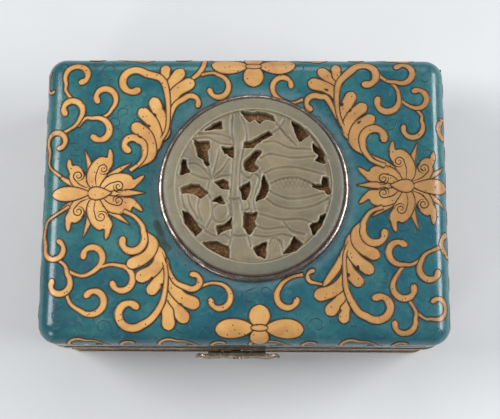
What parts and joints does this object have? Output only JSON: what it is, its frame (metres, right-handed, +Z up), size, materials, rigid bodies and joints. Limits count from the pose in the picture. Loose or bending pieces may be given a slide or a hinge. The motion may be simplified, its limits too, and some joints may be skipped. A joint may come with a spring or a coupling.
{
  "type": "pill box",
  "caption": "Small rectangular cloisonne enamel box with a hinged lid, a carved stone roundel in a bezel and a front clasp.",
  "frame": {"origin": "middle of the face that the box stands on", "axes": "+X right along the length, +Y from the clasp to the hinge, +Z up"},
  "size_m": [0.0656, 0.0496, 0.0259],
  "materials": {
    "copper": "satin",
    "teal_enamel": "gloss",
    "scroll_enamel": "gloss",
    "cloison_wire": "satin",
    "lining_enamel": "gloss",
    "rim_brass": "satin",
    "clasp_brass": "satin",
    "pin_steel": "satin",
    "bezel_metal": "satin",
    "carved_stone": "satin",
    "backing_wood": "matte"
  },
  "bodies": {
    "base": {"base_wall": "copper", "base_floor": "copper", "base_enamel": "teal_enamel", "floor_enamel": "lining_enamel", "base_lining": "lining_enamel", "base_rim": "rim_brass", "foot_rim": "rim_brass", "base_hinge": "rim_brass", "hinge_pin": "pin_steel", "strike_plate": "clasp_brass", "catch_stud": "clasp_brass"},
    "lid": {"lid_shell": "copper", "lid_enamel": "teal_enamel", "lid_lining": "lining_enamel", "lid_rim": "rim_brass", "bezel": "bezel_metal", "roundel_backing": "backing_wood", "carved_roundel": "carved_stone", "lid_hinge": "rim_brass", "clasp_bracket": "clasp_brass", "clasp_pin": "pin_steel"},
    "clasp": {"clasp_plate": "clasp_brass"}
  },
  "joints": [
    {"name": "lid_hinge_turn", "type": "hinge", "parent": "base", "child": "lid", "pos_m": [0, 0.0241, 0.01305], "axis": [-1, 0, 0], "range_deg": [0, 105]},
    {"name": "clasp_turn", "type": "hinge", "parent": "lid", "child": "clasp", "pos_m": [-0.0012, -0.02405, 0.0137], "axis": [-1, 0, 0], "range_deg": [0, 140]}
  ]
}
